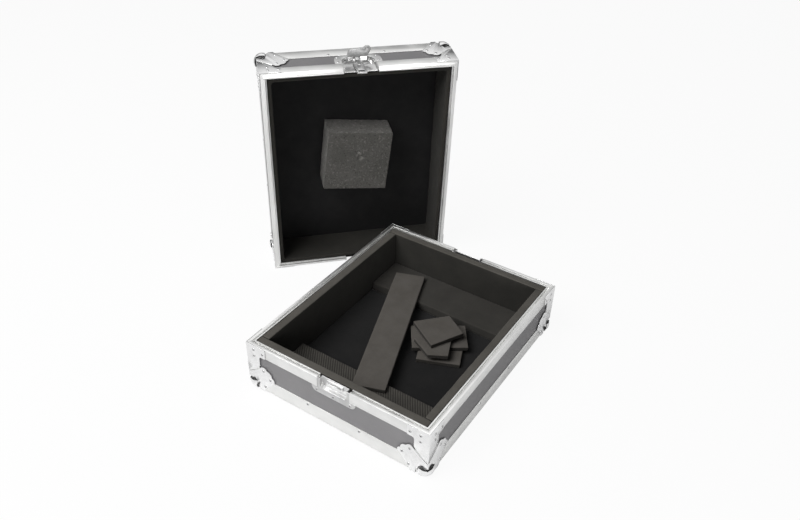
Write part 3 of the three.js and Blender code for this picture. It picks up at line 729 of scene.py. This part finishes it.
def push_out(piece, pushes):
    """Moves each point along its normal, in millimetres."""
    places = [vertex.co + vertex.normal * push * MM for vertex, push in zip(piece.data.vertices, pushes)]
    piece.data.vertices.foreach_set("co", [value for place in places for value in place])
    piece.data.update()
    return piece


def place_foam(piece, node, finish):
    stand_for(piece, node, finish)


def place_loose(node, piece):
    """A loose flat piece, with painted shade on its sides, which are darker than its top."""
    place_foam(piece, node, loose_foam)
    heights = [vertex.co.z / MM for vertex in piece.data.vertices]
    low, high = min(heights) + SHADED_SIDE_MARGIN, max(heights) - SHADED_SIDE_MARGIN
    # The sides, between the rounded top and bottom edges, get painted shade.
    paint_faces(piece, loose_side_shade, lambda point: low < point.z < high)


def add_foam():
    rim = BALL_PROUD + BASE_DEPTH
    for i, side in enumerate(("front", "back", "left", "right")):
        node = f"base_foam_{side}"
        piece = foam_from(node, 2.6, 0.25, 60, i)
        place_foam(piece, node, wall_foam)
        # The wall tops are painted lighter than the inner faces: partly the cut face, partly painted light.
        paint_faces(piece, cut_lit_top_foam, lambda point: point.z > rim - 2)
    for i, (side, finish) in enumerate((("front", ribbed_foam), ("back", ledge_foam))):
        node = f"foam_ledge_{side}"
        place_foam(foam_from(node, 2.6, 0.3, 70, 5 + i), node, finish)
    place_loose("foam_strip", foam_from("foam_strip", 1.3, 0.3, 90, 8, 0.5))
    for i in range(1, 5):
        node = f"foam_pad_{i}"
        place_loose(node, foam_from(node, 1.0, 0.3, 35, 10 + i, 0.5))
    place_foam(foam_from("lid_foam_lining", 3.0, 0.25, 60, 20), "lid_foam_lining", wall_foam)
    block = foam_from("lid_foam_block", 1.7, 0.5, 45, 22, 0.8)
    place_foam(block, "lid_foam_block", block_foam)
    to_lid = shift(0, 0, -BLOCK_TOP) @ LID_PLACE.inverted()
    press_dents(block, to_lid)
    # The block's sides get a lighter, coarser foam than its face.
    paint_faces(block, block_sides_foam, lambda point: (to_lid @ (point * MM)).z / MM < -BLOCK_SIDE)
    stand_for(round_edges(from_cad("base_floor_liner"), 0.3), "base_floor_liner", lining)


LINING_PLAY = 0.5
LINING_UNDER = 0.02
LINING_TOP = 0.24


def add_lid_lining():
    x = CASE_WIDTH / 2 - WALL_INNER - LINING_PLAY
    y = CASE_LENGTH / 2 - WALL_INNER - LINING_PLAY
    piece = box_piece("lid_lining", [-x, -y, BOARD_TOP + LINING_UNDER], [x, y, BOARD_TOP + LINING_TOP])
    pick(piece)
    bpy.ops.object.mode_set(mode="EDIT")
    bpy.ops.mesh.select_all(action="SELECT")
    bpy.ops.mesh.subdivide(number_cuts=24)
    bpy.ops.object.mode_set(mode="OBJECT")
    moved(piece, LID_PLACE)
    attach(piece, "lid")
    dress(piece, lining)


def dress_boards():
    for node, obj in frame["nodes"].items():
        if "_wall_" in node or "_panel" in node:
            dress(obj, laminate)


# Stage, light and camera


def add_floor():
    deselect()
    bpy.ops.mesh.primitive_plane_add(size=30, location=(0, 0, 0))
    floor = settle(latest("floor"))
    dress(floor, floor_finish())


LAMP_AIM = (0, 0, 0.1)


def add_lamp(name, place, aim, size, power):
    """A square lamp, its size in metres and its power in watts."""
    deselect()
    bpy.ops.object.light_add(type="AREA", location=place)
    lamp = bpy.context.object
    lamp.name = name
    lamp.data.shape = "SQUARE"
    lamp.data.size = size
    lamp.data.energy = power
    lamp.rotation_euler = (Vector(aim) - Vector(place)).to_track_quat("-Z", "Y").to_euler()


def add_world():
    """White to the camera, paler with height in reflections, and a soft dim light on the case."""
    world = bpy.data.worlds.new("studio")
    bpy.context.scene.world = world
    world.use_nodes = True
    tree = world.node_tree
    tree.nodes.clear()
    path = tree.nodes.new("ShaderNodeLightPath")
    seen = tree.nodes.new("ShaderNodeMath")
    seen.operation = "MULTIPLY_ADD"
    tree.links.new(path.outputs["Is Glossy Ray"], seen.inputs[0])
    tree.links.new(path.outputs["Is Camera Ray"], seen.inputs[2])
    white = tree.nodes.new("ShaderNodeBackground")
    white.inputs["Color"].default_value = (1, 1, 1, 1)
    white.inputs["Strength"].default_value = 1.0
    where = tree.nodes.new("ShaderNodeTexCoord")
    height = tree.nodes.new("ShaderNodeSeparateXYZ")
    tree.links.new(where.outputs["Generated"], height.inputs[0])
    sky = tree.nodes.new("ShaderNodeMapRange")
    for socket, value in (("From Min", 0.1), ("From Max", 0.8), ("To Min", 0.15), ("To Max", 1.0)):
        sky.inputs[socket].default_value = value
    tree.links.new(height.outputs["Z"], sky.inputs["Value"])
    tree.links.new(sky.outputs[0], seen.inputs[1])
    soft = tree.nodes.new("ShaderNodeBackground")
    soft.inputs["Color"].default_value = (0.95, 0.97, 1.0, 1)
    soft.inputs["Strength"].default_value = 0.08
    blend = tree.nodes.new("ShaderNodeMixShader")
    tree.links.new(seen.outputs[0], blend.inputs[0])
    tree.links.new(soft.outputs[0], blend.inputs[1])
    tree.links.new(white.outputs[0], blend.inputs[2])
    out = tree.nodes.new("ShaderNodeOutputWorld")
    tree.links.new(blend.outputs[0], out.inputs[0])


# The camera fitted to the photo: azimuth, elevation and roll in degrees, and its place in metres
CAMERA_ANGLES = (32.999, 36.861, 1.325)
CAMERA_PLACE = (0.781563, -1.137354, 1.135855)


def add_camera():
    azimuth, elevation, roll = (math.radians(d) for d in CAMERA_ANGLES)
    forward = Vector((-math.sin(azimuth) * math.cos(elevation), math.cos(azimuth) * math.cos(elevation),
                      -math.sin(elevation)))
    right = Vector((math.cos(azimuth), math.sin(azimuth), 0))
    up = right.cross(forward)
    across = right * math.cos(roll) + up * math.sin(roll)
    above = up * math.cos(roll) - right * math.sin(roll)
    turned = Matrix((across, above, -forward)).transposed()
    deselect()
    bpy.ops.object.camera_add(location=CAMERA_PLACE, rotation=turned.to_euler())
    camera = bpy.context.object
    camera.data.sensor_width = 36
    camera.data.lens = 35.498
    camera.data.shift_x = 0.0082975
    camera.data.shift_y = 0.0156975
    camera.data.clip_end = 50
    bpy.context.scene.camera = camera


def build():
    rivet = make_rivet()
    ball = make_ball_corner()
    for prefix in SHELLS:
        add_corners(prefix, ball, rivet)
        add_frame_metal(prefix)
    add_angle_rivets(rivet)
    add_latches(rivet)
    add_keepers(rivet)
    add_handle(rivet)
    for used in (rivet, ball):
        bpy.data.objects.remove(used)
    add_foam()
    add_lid_lining()
    dress_boards()
    add_floor()
    add_lamp("key", (-0.7, -1.7, 2.5), LAMP_AIM, 2.0, 90)
    add_lamp("fill", (2.0, -1.6, 0.5), LAMP_AIM, 0.9, 18)
    add_world()
    add_camera()
    bpy.context.scene.view_settings.view_transform = "Standard"


build()
